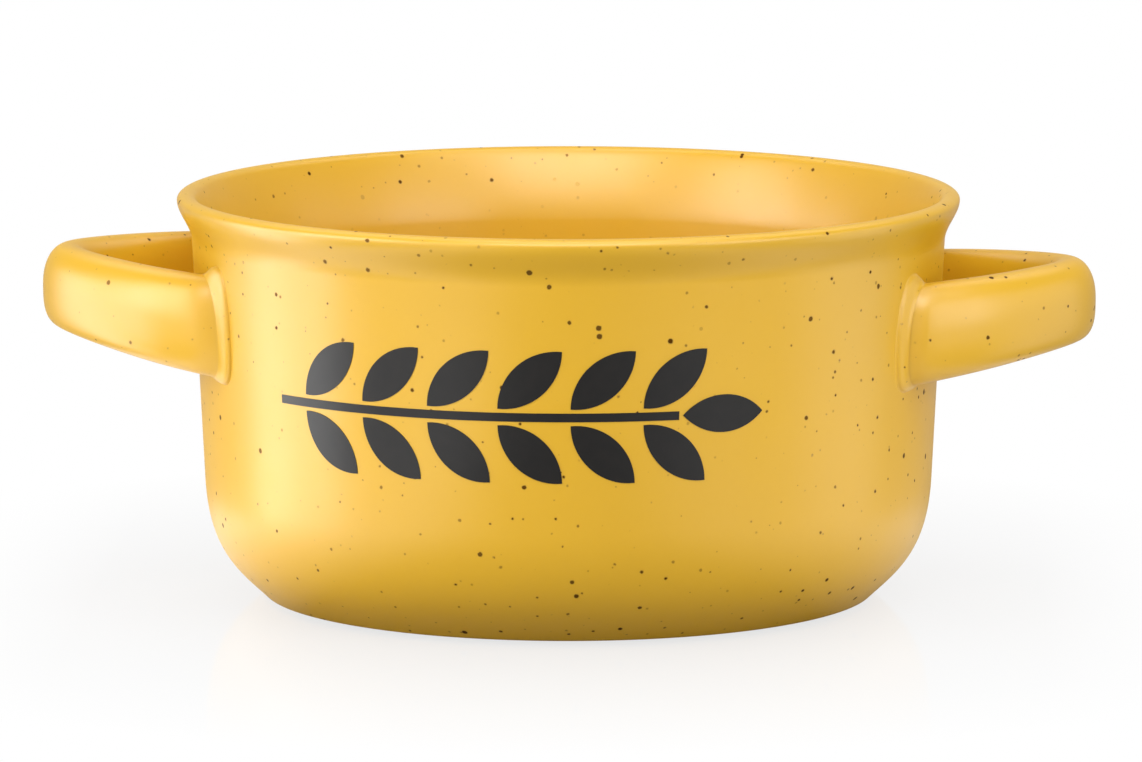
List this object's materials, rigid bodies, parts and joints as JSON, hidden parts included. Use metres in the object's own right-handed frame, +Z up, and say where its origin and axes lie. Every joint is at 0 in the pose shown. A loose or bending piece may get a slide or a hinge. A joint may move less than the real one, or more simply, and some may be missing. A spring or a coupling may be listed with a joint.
{
  "type": "soup mug",
  "caption": "Low wide stoneware soup mug with a flared lip, rounded base, bare foot ring, strap handles luted to the wall, speckled yellow glaze and a black leaf print.",
  "frame": {"origin": "on the table under the middle of the foot ring", "axes": "+Z up, handles along X, the printed front faces -Y"},
  "size_m": [0.1888, 0.14, 0.0726],
  "materials": {
    "bare_clay": "bare fired stoneware, matte",
    "speckled_glaze": "satin yellow glaze with dark iron specks",
    "handle_glaze": "satin yellow glaze with dark iron specks",
    "joint_glaze": "satin yellow glaze over slip",
    "black_print": "black ceramic transfer, semi-matte"
  },
  "bodies": {
    "root": {"bowl_body": "bare_clay", "glaze_coat": "speckled_glaze", "left_handle": "handle_glaze", "right_handle": "handle_glaze", "left_front_slip_joint": "joint_glaze", "left_rear_slip_joint": "joint_glaze", "right_front_slip_joint": "joint_glaze", "right_rear_slip_joint": "joint_glaze", "front_print": "black_print"}
  },
  "joints": []
}
